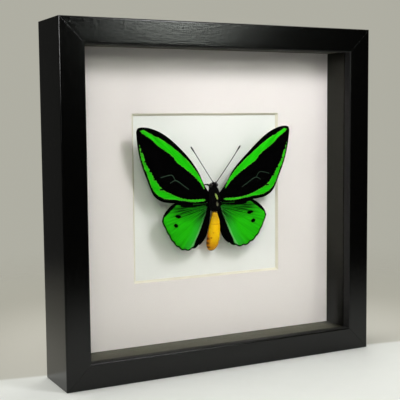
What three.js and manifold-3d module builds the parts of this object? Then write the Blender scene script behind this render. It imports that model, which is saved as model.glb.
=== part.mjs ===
// A spread birdwing butterfly pinned inside a square box frame, in millimetres with +Z up.
// The frame stands on its bottom rail at z = 0, faces -Y, and is centred on x = 0 and y = 0.
import * as THREE from "three";
import { mergeVertices } from "three/addons/utils/BufferGeometryUtils.js";
import Module from "manifold-3d";

const wasm = await Module();
wasm.setup();

// Clearance kept between neighbouring pieces.
const GAP = 0.3;

// Box frame: four mitred rails with a rebate behind a thick front lip.
const FRAME_SIDE = 250;
const FRAME_DEPTH = 44;
const RAIL_FACE = 17.8;
const RAIL_WALL = 13.6;
const LIP_THICKNESS = 7.5;
const ARRIS_RADIUS = 1.2;

// Flat layers behind the lip, each with its thickness. The liner strips hold the glass off the mat.
const GLASS_THICKNESS = 2;
const LINER_THICKNESS = 3;
const MAT_FACE_DEPTH = 32.2;
const MAT_THICKNESS = 1.6;
const MAT_WINDOW = 120;
const CARD_THICKNESS = 5;
const BOARD_THICKNESS = 2.5;

// Spring-steel tabs pushed into the rails hold the back board in.
const TAB_THICKNESS = 0.5;
const TAB_WIDTH = 7;
const TAB_ROOT = 5;
const TAB_REACH = 13;
const TAB_FROM_CENTRE = 60;

// Pressed hanger nailed to the back board.
const HANGER_LENGTH = 44;
const HANGER_HEIGHT = 9;
const HANGER_SHEET = 0.6;
const HANGER_RISE = 0.8;
const HANGER_FOOT = 8;
const HANGER_CENTRE_Z = 216;
const HANGER_TEETH = 7;
const TOOTH_HEIGHT = 2.2;
const NAIL_HEAD_RADIUS = 1.8;
const NAIL_HEAD_THICKNESS = 0.5;
const NAIL_SHANK_RADIUS = 0.5;
const NAIL_BITE = 1.4;

// Insect pin through the thorax into the mounting card.
const PIN_RADIUS = 0.35;
const PIN_Z = 122.6;
const PIN_TOP_Y = -1;
const PIN_BITE = 4;
const PIN_SIDES = 10;

// Depths of the layers behind the frame's front, each worked out from the one before it.
const glassDepth = LIP_THICKNESS + GAP;
const linerDepth = glassDepth + GLASS_THICKNESS + GAP;
const cardDepth = MAT_FACE_DEPTH + MAT_THICKNESS + GAP;
const boardDepth = cardDepth + CARD_THICKNESS + GAP;
const tabDepth = boardDepth + BOARD_THICKNESS + GAP;
const panelSide = FRAME_SIDE - 2 * (RAIL_WALL + GAP);
const frontY = -FRAME_DEPTH / 2;
const centreZ = FRAME_SIDE / 2;
const cardFaceY = frontY + cardDepth;
const boardBackY = frontY + boardDepth + BOARD_THICKNESS;

const blackWood = new THREE.MeshStandardMaterial({ color: 0x161615, roughness: 0.42 });
const clearGlass = new THREE.MeshStandardMaterial({
  color: 0xf2f6f4,
  roughness: 0.03,
  transparent: true,
  opacity: 0.15,
});
const blackLiner = new THREE.MeshStandardMaterial({ color: 0x141413, roughness: 0.8 });
const matBoard = new THREE.MeshStandardMaterial({ color: 0xe9e6e0, roughness: 0.95 });
const whiteCard = new THREE.MeshStandardMaterial({ color: 0xeff1ed, roughness: 0.95 });
const hardboard = new THREE.MeshStandardMaterial({ color: 0x6f4b2e, roughness: 0.85 });
const steel = new THREE.MeshStandardMaterial({ color: 0xa9abad, roughness: 0.4, metalness: 1 });
const wingScales = new THREE.MeshStandardMaterial({ color: 0x1e9a18, roughness: 0.6 });
const blackBody = new THREE.MeshStandardMaterial({ color: 0x0d0c0b, roughness: 0.9 });
const goldBody = new THREE.MeshStandardMaterial({ color: 0xdda218, roughness: 0.6 });

const root = new THREE.Group();

function addPiece(name, geometry, material, parent = root) {
  const mesh = new THREE.Mesh(geometry, material);
  mesh.name = name;
  parent.add(mesh);
  return mesh;
}

function toSolid(geometry) {
  const bare = geometry.clone();
  bare.deleteAttribute("normal");
  bare.deleteAttribute("uv");
  const merged = mergeVertices(bare, 1e-4);
  const mesh = new wasm.Mesh({
    numProp: 3,
    vertProperties: merged.attributes.position.array,
    triVerts: new Uint32Array(merged.index.array),
  });
  return new wasm.Manifold(mesh);
}

function toGeometry(solid) {
  const { vertProperties, triVerts } = solid.getMesh();
  const geometry = new THREE.BufferGeometry();
  geometry.setAttribute("position", new THREE.BufferAttribute(vertProperties, 3));
  geometry.setIndex(new THREE.BufferAttribute(triVerts, 1));
  geometry.computeVertexNormals();
  return geometry;
}

function cut(body, tools) {
  return toGeometry(tools.reduce((solid, tool) => solid.subtract(toSolid(tool)), toSolid(body)));
}

function join(parts) {
  return toGeometry(parts.slice(1).reduce((solid, part) => solid.add(toSolid(part)), toSolid(parts[0])));
}

// A straight bore along Y, open at its back end.
function boreAlongY(radius, x, z, fromY, toY) {
  const bore = new THREE.CylinderGeometry(radius, radius, toY - fromY, PIN_SIDES);
  bore.translate(x, (fromY + toY) / 2, z);
  return bore;
}

// The four sides of the frame, each in a group turned about the middle of the opening. Inside
// one, x is the distance in from the outer edge, y the depth from the front, z runs along it.
const SIDES = ["bottom", "left", "top", "right"];

function addToSide(sideIndex, name, geometry, material) {
  const turned = new THREE.Group();
  turned.position.set(0, frontY, centreZ);
  turned.rotation.y = (sideIndex * Math.PI) / 2;
  root.add(turned);
  const mesh = addPiece(name, geometry, material, turned);
  mesh.position.set(FRAME_SIDE / 2, 0, -FRAME_SIDE / 2);
  mesh.rotation.y = -Math.PI / 2;
}

// Extrudes a profile along one side of the frame and cuts both ends at 45 degrees.
function mitredStrip(profile) {
  const strip = new THREE.ExtrudeGeometry(profile, {
    depth: FRAME_SIDE,
    bevelEnabled: false,
    curveSegments: 3,
  });
  const points = strip.attributes.position;
  for (let i = 0; i < points.count; i++) {
    const setBack = points.getX(i) + GAP / Math.SQRT2;
    points.setZ(i, points.getZ(i) > FRAME_SIDE / 2 ? FRAME_SIDE - setBack : setBack);
  }
  return strip;
}

function railProfile() {
  const shape = new THREE.Shape();
  shape.moveTo(ARRIS_RADIUS, 0);
  shape.lineTo(RAIL_FACE - ARRIS_RADIUS, 0);
  shape.absarc(RAIL_FACE - ARRIS_RADIUS, ARRIS_RADIUS, ARRIS_RADIUS, -Math.PI / 2, 0);
  shape.lineTo(RAIL_FACE, LIP_THICKNESS);
  shape.lineTo(RAIL_WALL, LIP_THICKNESS);
  shape.lineTo(RAIL_WALL, FRAME_DEPTH);
  shape.lineTo(0, FRAME_DEPTH);
  shape.lineTo(0, ARRIS_RADIUS);
  shape.absarc(ARRIS_RADIUS, ARRIS_RADIUS, ARRIS_RADIUS, Math.PI, 1.5 * Math.PI);
  return shape;
}

function linerProfile() {
  const outer = RAIL_WALL + GAP;
  const inner = outer + LINER_THICKNESS;
  const back = MAT_FACE_DEPTH - GAP;
  const corners = [
    [outer, linerDepth],
    [inner, linerDepth],
    [inner, back],
    [outer, back],
  ];
  return new THREE.Shape(corners.map(([x, y]) => new THREE.Vector2(x, y)));
}

const tabPlaces = [FRAME_SIDE / 2 - TAB_FROM_CENTRE, FRAME_SIDE / 2 + TAB_FROM_CENTRE];

function tabSlot(along) {
  const length = TAB_ROOT + 2 * GAP;
  const slot = new THREE.BoxGeometry(length, TAB_THICKNESS + 2 * GAP, TAB_WIDTH + 2 * GAP);
  slot.translate(RAIL_WALL - length / 2 + GAP, tabDepth + TAB_THICKNESS / 2, along);
  return slot;
}

// A thin leaf with a rounded nose, its root in the rail and its nose over the back board.
function tabLeaf(along) {
  const half = TAB_WIDTH / 2;
  const noseX = RAIL_WALL + TAB_REACH - half;
  const outline = new THREE.Shape();
  outline.moveTo(RAIL_WALL - TAB_ROOT, -half);
  outline.lineTo(noseX, -half);
  outline.absarc(noseX, 0, half, -Math.PI / 2, Math.PI / 2);
  outline.lineTo(RAIL_WALL - TAB_ROOT, half);
  const leaf = new THREE.ExtrudeGeometry(outline, {
    depth: TAB_THICKNESS,
    bevelEnabled: false,
    curveSegments: 8,
  });
  leaf.rotateX(Math.PI / 2);
  leaf.translate(0, tabDepth + TAB_THICKNESS, along);
  return leaf;
}

function addFrameSides() {
  const rail = cut(mitredStrip(railProfile()), tabPlaces.map(tabSlot));
  const liner = mitredStrip(linerProfile());
  SIDES.forEach((side, index) => {
    addToSide(index, `rail_${side}`, rail, blackWood);
    addToSide(index, `liner_${side}`, liner, blackLiner);
    tabPlaces.forEach((along, place) => {
      addToSide(index, `tab_${side}_${place + 1}`, tabLeaf(along), steel);
    });
  });
}

// A square sheet that fills the rebate, its front at the given depth.
function panel(depth, thickness) {
  const sheet = new THREE.BoxGeometry(panelSide, thickness, panelSide);
  sheet.translate(0, frontY + depth + thickness / 2, centreZ);
  return sheet;
}

function squarePath(path, half) {
  path.moveTo(-half, -half);
  path.lineTo(half, -half);
  path.lineTo(half, half);
  path.lineTo(-half, half);
  return path;
}

// The window's edge is cut at 45 degrees, so its front edge is a board's thickness wider.
function matWithWindow() {
  const half = MAT_WINDOW / 2;
  const sheet = squarePath(new THREE.Shape(), panelSide / 2);
  sheet.holes.push(squarePath(new THREE.Path(), half));
  const mat = new THREE.ExtrudeGeometry(sheet, { depth: MAT_THICKNESS, bevelEnabled: false });
  const points = mat.attributes.position;
  const widened = (half + MAT_THICKNESS) / half;
  for (let i = 0; i < points.count; i++) {
    if (points.getZ(i) > MAT_THICKNESS / 2 && Math.abs(points.getX(i)) < half + 1) {
      points.setXY(i, points.getX(i) * widened, points.getY(i) * widened);
    }
  }
  mat.rotateX(Math.PI / 2);
  mat.translate(0, frontY + MAT_FACE_DEPTH + MAT_THICKNESS, centreZ);
  return mat;
}

const nailXs = { left: -1, right: 1 };
const nailOffset = HANGER_LENGTH / 2 - HANGER_FOOT / 2;

function nailBore(x) {
  const radius = NAIL_SHANK_RADIUS + GAP;
  return boreAlongY(radius, x, HANGER_CENTRE_Z, boardBackY - NAIL_BITE - GAP, FRAME_DEPTH);
}

// A strip joggled up between two feet, with saw teeth along the raised part's lower edge.
function hangerStrip() {
  const low = boardBackY + GAP;
  const high = low + HANGER_RISE;
  const footX = HANGER_LENGTH / 2 - HANGER_FOOT;
  const raisedX = footX - 2 * HANGER_RISE;
  const halfPath = [
    [HANGER_LENGTH / 2, low],
    [footX, low],
    [raisedX, high],
  ];
  const under = [...halfPath, ...halfPath.map(([x, y]) => [-x, y]).reverse()];
  const over = under.map(([x, y]) => [x, y + HANGER_SHEET]).reverse();
  const strip = new THREE.ExtrudeGeometry(
    new THREE.Shape([...under, ...over].map(([x, y]) => new THREE.Vector2(x, y))),
    { depth: HANGER_HEIGHT, bevelEnabled: false },
  );
  const bottomZ = HANGER_CENTRE_Z - HANGER_HEIGHT / 2;
  strip.translate(0, 0, bottomZ);

  const toothWidth = (2 * raisedX) / HANGER_TEETH;
  const teeth = new THREE.Shape();
  teeth.moveTo(-raisedX, -1);
  for (let tooth = 0; tooth < HANGER_TEETH; tooth++) {
    const x = -raisedX + tooth * toothWidth;
    teeth.lineTo(x, 0);
    teeth.lineTo(x + toothWidth / 2, TOOTH_HEIGHT);
  }
  teeth.lineTo(raisedX, 0);
  teeth.lineTo(raisedX, -1);
  const teethCut = new THREE.ExtrudeGeometry(teeth, { depth: FRAME_DEPTH, bevelEnabled: false });
  teethCut.rotateX(Math.PI / 2);
  teethCut.translate(0, FRAME_DEPTH, bottomZ);
  return cut(strip, [teethCut, nailBore(-nailOffset), nailBore(nailOffset)]);
}

function nail(x) {
  const under = boardBackY + GAP + HANGER_SHEET + GAP;
  const profile = [
    [0, boardBackY - NAIL_BITE],
    [NAIL_SHANK_RADIUS, boardBackY - NAIL_BITE + NAIL_SHANK_RADIUS],
    [NAIL_SHANK_RADIUS, under],
    [NAIL_HEAD_RADIUS, under],
    [NAIL_HEAD_RADIUS, under + NAIL_HEAD_THICKNESS / 2],
    [0.6 * NAIL_HEAD_RADIUS, under + NAIL_HEAD_THICKNESS],
    [0, under + NAIL_HEAD_THICKNESS],
  ];
  const body = new THREE.LatheGeometry(
    profile.map(([r, y]) => new THREE.Vector2(r, y)),
    16,
  );
  body.translate(x, 0, HANGER_CENTRE_Z);
  return body;
}

function addLayers() {
  addPiece("glass", panel(glassDepth, GLASS_THICKNESS), clearGlass);
  addPiece("mat_board", matWithWindow(), matBoard);

  const pinBore = boreAlongY(PIN_RADIUS + GAP, 0, PIN_Z, frontY, cardFaceY + PIN_BITE + GAP);
  addPiece("mounting_card", cut(panel(cardDepth, CARD_THICKNESS), [pinBore]), whiteCard);

  const board = panel(boardDepth, BOARD_THICKNESS);
  addPiece("back_board", cut(board, [nailBore(-nailOffset), nailBore(nailOffset)]), hardboard);

  addPiece("hanger", hangerStrip(), steel);
  Object.entries(nailXs).forEach(([side, sign]) => {
    addPiece(`hanger_nail_${side}`, nail(sign * nailOffset), steel);
  });
}

// Turns every face of a closed body round if it is inside out.
function facingOut(geometry) {
  const index = geometry.index.array;
  const corner = (i) => new THREE.Vector3().fromBufferAttribute(geometry.attributes.position, index[i]);
  let volume = 0;
  for (let i = 0; i < index.length; i += 3) {
    volume += corner(i).dot(corner(i + 1).cross(corner(i + 2)));
  }
  if (volume < 0) {
    index.reverse();
  }
  geometry.computeVertexNormals();
  return geometry;
}

// A closed body through sections of equal point count, with a fan to a point at each end.
function loft(first, sections, last) {
  const around = sections[0].length;
  const points = [first, ...sections.flat(), last];
  const at = (row, i) => 1 + row * around + (i % around);
  const lastRow = sections.length - 1;
  const faces = [];
  for (let i = 0; i < around; i++) {
    faces.push(0, at(0, i + 1), at(0, i));
    faces.push(points.length - 1, at(lastRow, i), at(lastRow, i + 1));
    for (let row = 0; row < lastRow; row++) {
      const [a, b, c, d] = [at(row, i), at(row, i + 1), at(row + 1, i + 1), at(row + 1, i)];
      faces.push(a, b, c, a, c, d);
    }
  }
  const geometry = new THREE.BufferGeometry().setFromPoints(points);
  geometry.setIndex(faces);
  return facingOut(geometry);
}

// Wings, as points [out from the midline, y, z] from the base to the tip along both edges.
const WING_THICKNESS = 0.4;
const WING_CAMBER = 0.9;
const WING_ROWS = 36;
const WING_COLUMNS = 5;
const FOREWING = {
  leading: [
    [5.2, 0.6, 129],
    [9.2, -0.2, 134.5],
    [14.8, -1.6, 144.5],
    [26.2, -4.1, 157.4],
    [41.4, -4.5, 170.4],
    [50.6, -4.2, 175.1],
    [58.3, -3.5, 176.8],
    [62.7, -2.9, 176],
    [63.9, -2.6, 173.4],
  ],
  trailing: [
    [5.2, 0.6, 121],
    [19, 0.4, 120.9],
    [32, 0, 121.5],
    [43.5, -0.4, 123.3],
    [49.8, -0.8, 127.6],
    [55.4, -1.4, 139.3],
    [60, -1.8, 151.2],
    [62.6, -2.2, 162.2],
    [63.9, -2.6, 173.4],
  ],
  scallops: 0,
  scallopsFrom: 1,
};
const HINDWING = {
  leading: [
    [5, 1.5, 120],
    [10, 1.9, 122.4],
    [20, 1.8, 123.2],
    [28, 1.4, 122.4],
    [34.8, 0.5, 119.2],
    [41.5, -0.5, 113.1],
    [44.1, -0.9, 108.8],
  ],
  trailing: [
    [5, 1.5, 114.5],
    [5.1, 1.6, 108],
    [6.5, 1.7, 102],
    [9, 1.8, 94.8],
    [12.8, 1.9, 89.9],
    [18.8, 1.6, 86.5],
    [24.5, 1, 85.8],
    [30.5, -0.2, 88.4],
    [35, -1.1, 93.3],
    [39.6, -1.4, 100.8],
    [44.1, -0.9, 108.8],
  ],
  scallops: 6,
  scallopsFrom: 0.44,
};
const SCALLOP_DEPTH = 0.7;

function curveThrough(points) {
  return new THREE.CatmullRomCurve3(points.map((p) => new THREE.Vector3(...p)));
}

// How far the outer margin is drawn in between two vein ends.
function scallopAt(shape, t) {
  const past = (t - shape.scallopsFrom) / (1 - shape.scallopsFrom);
  return past > 0 ? SCALLOP_DEPTH * (1 - Math.abs(Math.sin(Math.PI * shape.scallops * past))) : 0;
}

function wing(shape, sideSign) {
  const leading = curveThrough(shape.leading);
  const trailing = curveThrough(shape.trailing);
  const toSide = (p) => p.setX(sideSign * p.x);
  const sections = [];
  for (let row = 0; row < WING_ROWS; row++) {
    const t = row / WING_ROWS;
    const from = leading.getPointAt(t);
    const to = trailing.getPointAt(t);
    const width = from.distanceTo(to);
    const front = [];
    const back = [];
    for (let column = 0; column <= WING_COLUMNS; column++) {
      const s = column / WING_COLUMNS;
      const reach = (s * (width - scallopAt(shape, t))) / width;
      const point = from.clone().lerp(to, reach);
      point.y -= WING_CAMBER * Math.sin(Math.PI * s) * Math.sin(Math.PI * t);
      front.push(toSide(point.clone()));
      point.y += WING_THICKNESS;
      back.unshift(toSide(point));
    }
    sections.push([...front, ...back]);
  }
  const baseMiddle = leading.getPoint(0).lerp(trailing.getPoint(0), 0.5);
  const tip = leading.getPoint(1);
  [baseMiddle, tip].forEach((p) => {
    p.y += WING_THICKNESS / 2;
    toSide(p);
  });
  return loft(baseMiddle, sections, tip);
}

// Body parts, as rows [z, y of the middle, half width, half depth] from the lower end up.
const BODY_SIDES = 18;
const THORAX_ROWS = [
  [114.2, 1.2, 2.2, 2.2],
  [115.6, 1.4, 3.5, 3.2],
  [118, 1.6, 4.4, 3.9],
  [121, 1.7, 4.7, 4.2],
  [124, 1.7, 4.7, 4.3],
  [127, 1.8, 4.4, 4],
  [129.4, 2, 3.6, 3.2],
  [130.8, 2.1, 2.2, 2],
];
const ABDOMEN_ROWS = [
  [83.6, 6.9, 1.4, 1.3],
  [84.9, 6.4, 3, 2.8],
  [87.2, 5.4, 4.5, 4.2],
  [90.8, 4.2, 5.2, 4.9],
  [95, 2.9, 5.3, 5.1],
  [99.6, 1.8, 4.9, 4.8],
  [104, 0.9, 4.4, 4.3],
  [107.8, 0.5, 3.9, 3.9],
  [110.8, 0.5, 3.2, 3.2],
  [113, 0.8, 2, 2],
];
const ABDOMEN_RINGS = 7;
const RING_GROOVE = 0.22;

function bodySection(z, y, halfWidth, halfDepth) {
  return Array.from({ length: BODY_SIDES }, (_, i) => {
    const angle = (2 * Math.PI * i) / BODY_SIDES;
    return new THREE.Vector3(halfWidth * Math.cos(angle), y + halfDepth * Math.sin(angle), z);
  });
}

function bodyThrough(rows, overshoot) {
  const [lowZ, lowY] = rows[0];
  const [highZ, highY] = rows[rows.length - 1];
  return loft(
    new THREE.Vector3(0, lowY, lowZ - overshoot),
    rows.map((row) => bodySection(...row)),
    new THREE.Vector3(0, highY, highZ + overshoot),
  );
}

// The abdomen's rows are blended finely so that shallow grooves part its rings.
function ringedRows(rows) {
  const curve = curveThrough(rows.map(([z, y, halfWidth]) => [halfWidth, y, z]));
  const steps = ABDOMEN_RINGS * 4;
  return Array.from({ length: steps + 1 }, (_, i) => {
    const t = i / steps;
    const middle = curve.getPoint(t);
    const groove = RING_GROOVE * Math.cos(Math.PI * ABDOMEN_RINGS * t) ** 8;
    return [middle.z, middle.y, middle.x - groove, 0.96 * middle.x - groove];
  });
}

const HEAD_CENTRE = [0, 2.3, 133.2];
const HEAD_RADII = [2.5, 2.2, 2];
const EYE_RADIUS = 1.55;
const EYE_OUT = 2.1;
const PALP_TIP = [1, 0.2, 136];
const PALP_STOPS = [
  [0, 0.55],
  [1, 0.3],
];

function head() {
  const [, headY, headZ] = HEAD_CENTRE;
  const skull = new THREE.SphereGeometry(1, 16, 12);
  skull.scale(...HEAD_RADII);
  skull.translate(...HEAD_CENTRE);
  const lobes = [-1, 1].flatMap((sign) => {
    const eye = new THREE.SphereGeometry(EYE_RADIUS, 14, 10);
    eye.translate(sign * EYE_OUT, headY - 0.3, headZ + 0.2);
    const [tipX, tipY, tipZ] = PALP_TIP;
    const palpPath = [
      [sign * 0.8, headY, headZ],
      [sign * tipX, tipY, tipZ],
    ];
    const palp = limb(palpPath, PALP_STOPS, 3);
    return [eye, palp];
  });
  return join([skull, ...lobes]);
}

// A round limb along a curve. Its radius blends between stops [share of the length, radius].
const LIMB_SIDES = 7;

function radiusAt(stops, t) {
  const next = Math.max(1, stops.findIndex(([share]) => share >= t));
  const [fromShare, fromRadius] = stops[next - 1];
  const [toShare, toRadius] = stops[next];
  return THREE.MathUtils.mapLinear(t, fromShare, toShare, fromRadius, toRadius);
}

function limb(points, stops, steps) {
  const curve = curveThrough(points);
  const frames = curve.computeFrenetFrames(steps, false);
  const sections = Array.from({ length: steps + 1 }, (_, step) => {
    const t = step / steps;
    const centre = curve.getPointAt(t);
    return Array.from({ length: LIMB_SIDES }, (_, i) => {
      const angle = (2 * Math.PI * i) / LIMB_SIDES;
      return centre
        .clone()
        .addScaledVector(frames.normals[step], radiusAt(stops, t) * Math.cos(angle))
        .addScaledVector(frames.binormals[step], radiusAt(stops, t) * Math.sin(angle));
    });
  });
  return loft(curve.getPointAt(0), sections, curve.getPointAt(1));
}

// Antennae and legs, as points [out from the midline, y, z] from the body outwards.
const ANTENNA = [
  [1.3, 0.1, 135.4],
  [6.6, -0.7, 142.6],
  [13.4, -1.6, 152],
  [20.7, -2.1, 162.4],
];
const ANTENNA_STOPS = [
  [0, 0.22],
  [0.82, 0.24],
  [0.93, 0.48],
  [1, 0.3],
];
const LEG_STOPS = [
  [0, 0.6],
  [0.4, 0.5],
  [0.75, 0.3],
  [1, 0.2],
];
const LEGS = {
  front_left: [
    [-0.9, 5.8, 129.2],
    [-1.9, 5.4, 132.8],
    [-7, 3.2, 133.7],
    [-8, 5.4, 130.5],
    [-6.9, 8, 126.6],
  ],
  front_right: [
    [1.6, 5.9, 128.6],
    [4.4, 6.8, 131.4],
    [5, 8.4, 127.4],
    [3.4, 9.8, 124.6],
  ],
  middle_left: [
    [-1.9, 6.6, 123],
    [-7.6, 8.2, 122.6],
    [-9.8, 9.4, 116.6],
    [-9.2, 10.6, 110.6],
  ],
  middle_right: [
    [1.9, 6.6, 123],
    [7.6, 8.2, 122.6],
    [9.8, 9.4, 116.6],
    [9.2, 10.6, 110.6],
  ],
  hind_left: [
    [-1.8, 6.4, 118.6],
    [-6, 7.8, 117.6],
    [-7.2, 9.6, 109.5],
    [-5.4, 10.9, 102],
  ],
  hind_right: [
    [1.8, 6.4, 118.6],
    [6, 7.8, 117.6],
    [7.2, 9.6, 109.5],
    [5.4, 10.9, 102],
  ],
};

// A plain wire, its blunt end inside the thorax and its point in the mounting card.
function insectPin() {
  const end = cardFaceY + PIN_BITE;
  const profile = [
    [0, PIN_TOP_Y],
    [PIN_RADIUS, PIN_TOP_Y],
    [PIN_RADIUS, end - 3 * PIN_RADIUS],
    [0, end],
  ];
  const wire = new THREE.LatheGeometry(
    profile.map(([r, y]) => new THREE.Vector2(r, y)),
    PIN_SIDES,
  );
  wire.translate(0, 0, PIN_Z);
  return wire;
}

function addButterfly() {
  const pinHole = boreAlongY(PIN_RADIUS + GAP, 0, PIN_Z, PIN_TOP_Y - GAP, cardFaceY);
  addPiece("thorax", cut(bodyThrough(THORAX_ROWS, 0.4), [pinHole]), blackBody);
  addPiece("abdomen", bodyThrough(ringedRows(ABDOMEN_ROWS), 0.3), goldBody);
  addPiece("head", head(), blackBody);
  addPiece("insect_pin", insectPin(), steel);
  Object.entries({ left: -1, right: 1 }).forEach(([side, sign]) => {
    addPiece(`forewing_${side}`, wing(FOREWING, sign), wingScales);
    addPiece(`hindwing_${side}`, wing(HINDWING, sign), wingScales);
    const path = ANTENNA.map(([out, y, z]) => [sign * out, y, z]);
    addPiece(`antenna_${side}`, limb(path, ANTENNA_STOPS, 18), blackBody);
  });
  Object.entries(LEGS).forEach(([name, path]) => {
    addPiece(`leg_${name}`, limb(path, LEG_STOPS, 12), blackBody);
  });
}

addFrameSides();
addLayers();
addButterfly();

export default root;
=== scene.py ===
import math

import bmesh
import bpy
import numpy as np
from mathutils import Matrix, Vector
from mathutils.kdtree import KDTree


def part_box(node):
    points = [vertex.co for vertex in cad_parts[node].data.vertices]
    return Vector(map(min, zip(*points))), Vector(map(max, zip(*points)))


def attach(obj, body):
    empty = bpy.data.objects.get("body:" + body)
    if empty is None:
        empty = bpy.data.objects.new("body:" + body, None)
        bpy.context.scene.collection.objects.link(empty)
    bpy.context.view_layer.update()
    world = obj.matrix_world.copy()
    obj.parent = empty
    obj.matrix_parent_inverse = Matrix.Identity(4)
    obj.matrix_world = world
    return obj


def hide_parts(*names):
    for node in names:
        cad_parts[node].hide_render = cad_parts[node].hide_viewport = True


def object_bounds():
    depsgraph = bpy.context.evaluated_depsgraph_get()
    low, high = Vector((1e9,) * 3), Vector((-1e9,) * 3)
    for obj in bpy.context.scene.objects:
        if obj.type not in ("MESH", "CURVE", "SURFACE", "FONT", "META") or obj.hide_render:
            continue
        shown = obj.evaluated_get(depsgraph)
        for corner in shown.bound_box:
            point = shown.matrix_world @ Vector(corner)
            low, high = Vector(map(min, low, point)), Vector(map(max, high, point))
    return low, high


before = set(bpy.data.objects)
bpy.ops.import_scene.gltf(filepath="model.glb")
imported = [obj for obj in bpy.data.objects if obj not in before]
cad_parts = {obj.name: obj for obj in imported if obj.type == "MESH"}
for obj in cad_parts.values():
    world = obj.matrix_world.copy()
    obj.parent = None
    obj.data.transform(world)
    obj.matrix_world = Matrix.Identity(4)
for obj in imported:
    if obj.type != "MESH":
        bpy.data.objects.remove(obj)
cad_low, cad_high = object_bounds()

# ---- Frame rails ---------------------------------------------------------------------
# Four lengths of one deep box moulding in black satin paint. Each is rebated behind a thick
# front lip, mitred at both ends and glued to its neighbours. Slots in its wall take the tabs.

MM = 0.001
side = cad_high.x - cad_low.x
front_y = cad_low.y
back_y = cad_high.y
middle_z = side / 2

rail_face = 17.8 * MM
rail_wall = 13.6 * MM
lip_back_y = front_y + 7.5 * MM
front_arris = 1.2 * MM
back_arris = 0.5 * MM
mitre_gap = 0.07 * MM
mitre_chamfer = 0.08 * MM
corner_arris = 0.5 * MM
# How far the painted highlight along each mitre reaches from the joint line.
mitre_highlight_reach = 0.5 * MM
tab_middle_y = (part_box("tab_bottom_1")[0].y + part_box("tab_bottom_1")[1].y) / 2
tab_from_centre = 60 * MM
slot_half_width = 3.65 * MM
slot_half_height = 0.35 * MM
slot_depth = 5.2 * MM
opening_half = side / 2 - rail_face
dull_lip_from = opening_half + 0.7 * MM
dull_lip_full = opening_half + 0.1 * MM
QUARTER = math.pi / 2


def deselect_all():
    bpy.ops.object.select_all(action="DESELECT")


def pick_only(piece):
    """Selects one piece alone and makes it the active one."""
    deselect_all()
    piece.select_set(True)
    bpy.context.view_layer.objects.active = piece


def open_mesh(piece, kind="FACE", picked="DESELECT"):
    """Enters edit mode on one piece, with nothing selected unless asked."""
    pick_only(piece)
    bpy.ops.object.mode_set(mode="EDIT")
    bpy.ops.mesh.select_mode(type=kind)
    bpy.ops.mesh.select_all(action=picked)


def close_mesh():
    bpy.ops.object.mode_set(mode="OBJECT")


def pick_faces(piece, wanted):
    """Selects only the faces that wanted(middle, normal) agrees to."""
    bpy.ops.mesh.select_all(action="DESELECT")
    shape = bmesh.from_edit_mesh(piece.data)
    for face in shape.faces:
        if wanted(face.calc_center_median(), face.normal):
            face.select_set(True)
    bmesh.update_edit_mesh(piece.data)


def pick_edges(piece, wanted):
    """Selects only the edges that wanted(middle, direction) agrees to."""
    bpy.ops.mesh.select_mode(type="EDGE")
    bpy.ops.mesh.select_all(action="DESELECT")
    shape = bmesh.from_edit_mesh(piece.data)
    for edge in shape.edges:
        ends = [vertex.co for vertex in edge.verts]
        if wanted((ends[0] + ends[1]) / 2, (ends[1] - ends[0]).normalized()):
            edge.select_set(True)
    bmesh.update_edit_mesh(piece.data)


def settle(piece, name):
    """Names a new piece and puts its place and size into its mesh."""
    piece.name = name
    piece.data.name = name
    pick_only(piece)
    bpy.ops.object.transform_apply(location=True, rotation=True, scale=True)
    return piece


def apply_modifier(piece, kind, **settings):
    pick_only(piece)
    modifier = piece.modifiers.new(kind.lower(), kind)
    for setting, value in settings.items():
        setattr(modifier, setting, value)
    bpy.ops.object.modifier_apply(modifier=modifier.name)


def smooth_between(piece, degrees):
    """Smooth shading, broken at sharp edges, that keeps the wide flats flat."""
    pick_only(piece)
    bpy.ops.object.shade_smooth_by_angle(angle=math.radians(degrees))
    apply_modifier(piece, "WEIGHTED_NORMAL", keep_sharp=True)


def paint(piece, material):
    piece.data.materials.clear()
    piece.data.materials.append(material)


def finish_piece(piece, material, slot, *nodes):
    """Gives a modelled piece its finish and lets it stand for its solids."""
    paint(piece, material)
    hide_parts(*nodes)
    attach(piece, "root")


def near(a, b):
    return abs(a - b) < 0.05 * MM


def box_piece(name, low, high):
    size = Vector(high) - Vector(low)
    middle = (Vector(high) + Vector(low)) / 2
    deselect_all()
    bpy.ops.mesh.primitive_cube_add(size=1, location=middle)
    block = bpy.context.object
    block.scale = size
    return settle(block, name)


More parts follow.
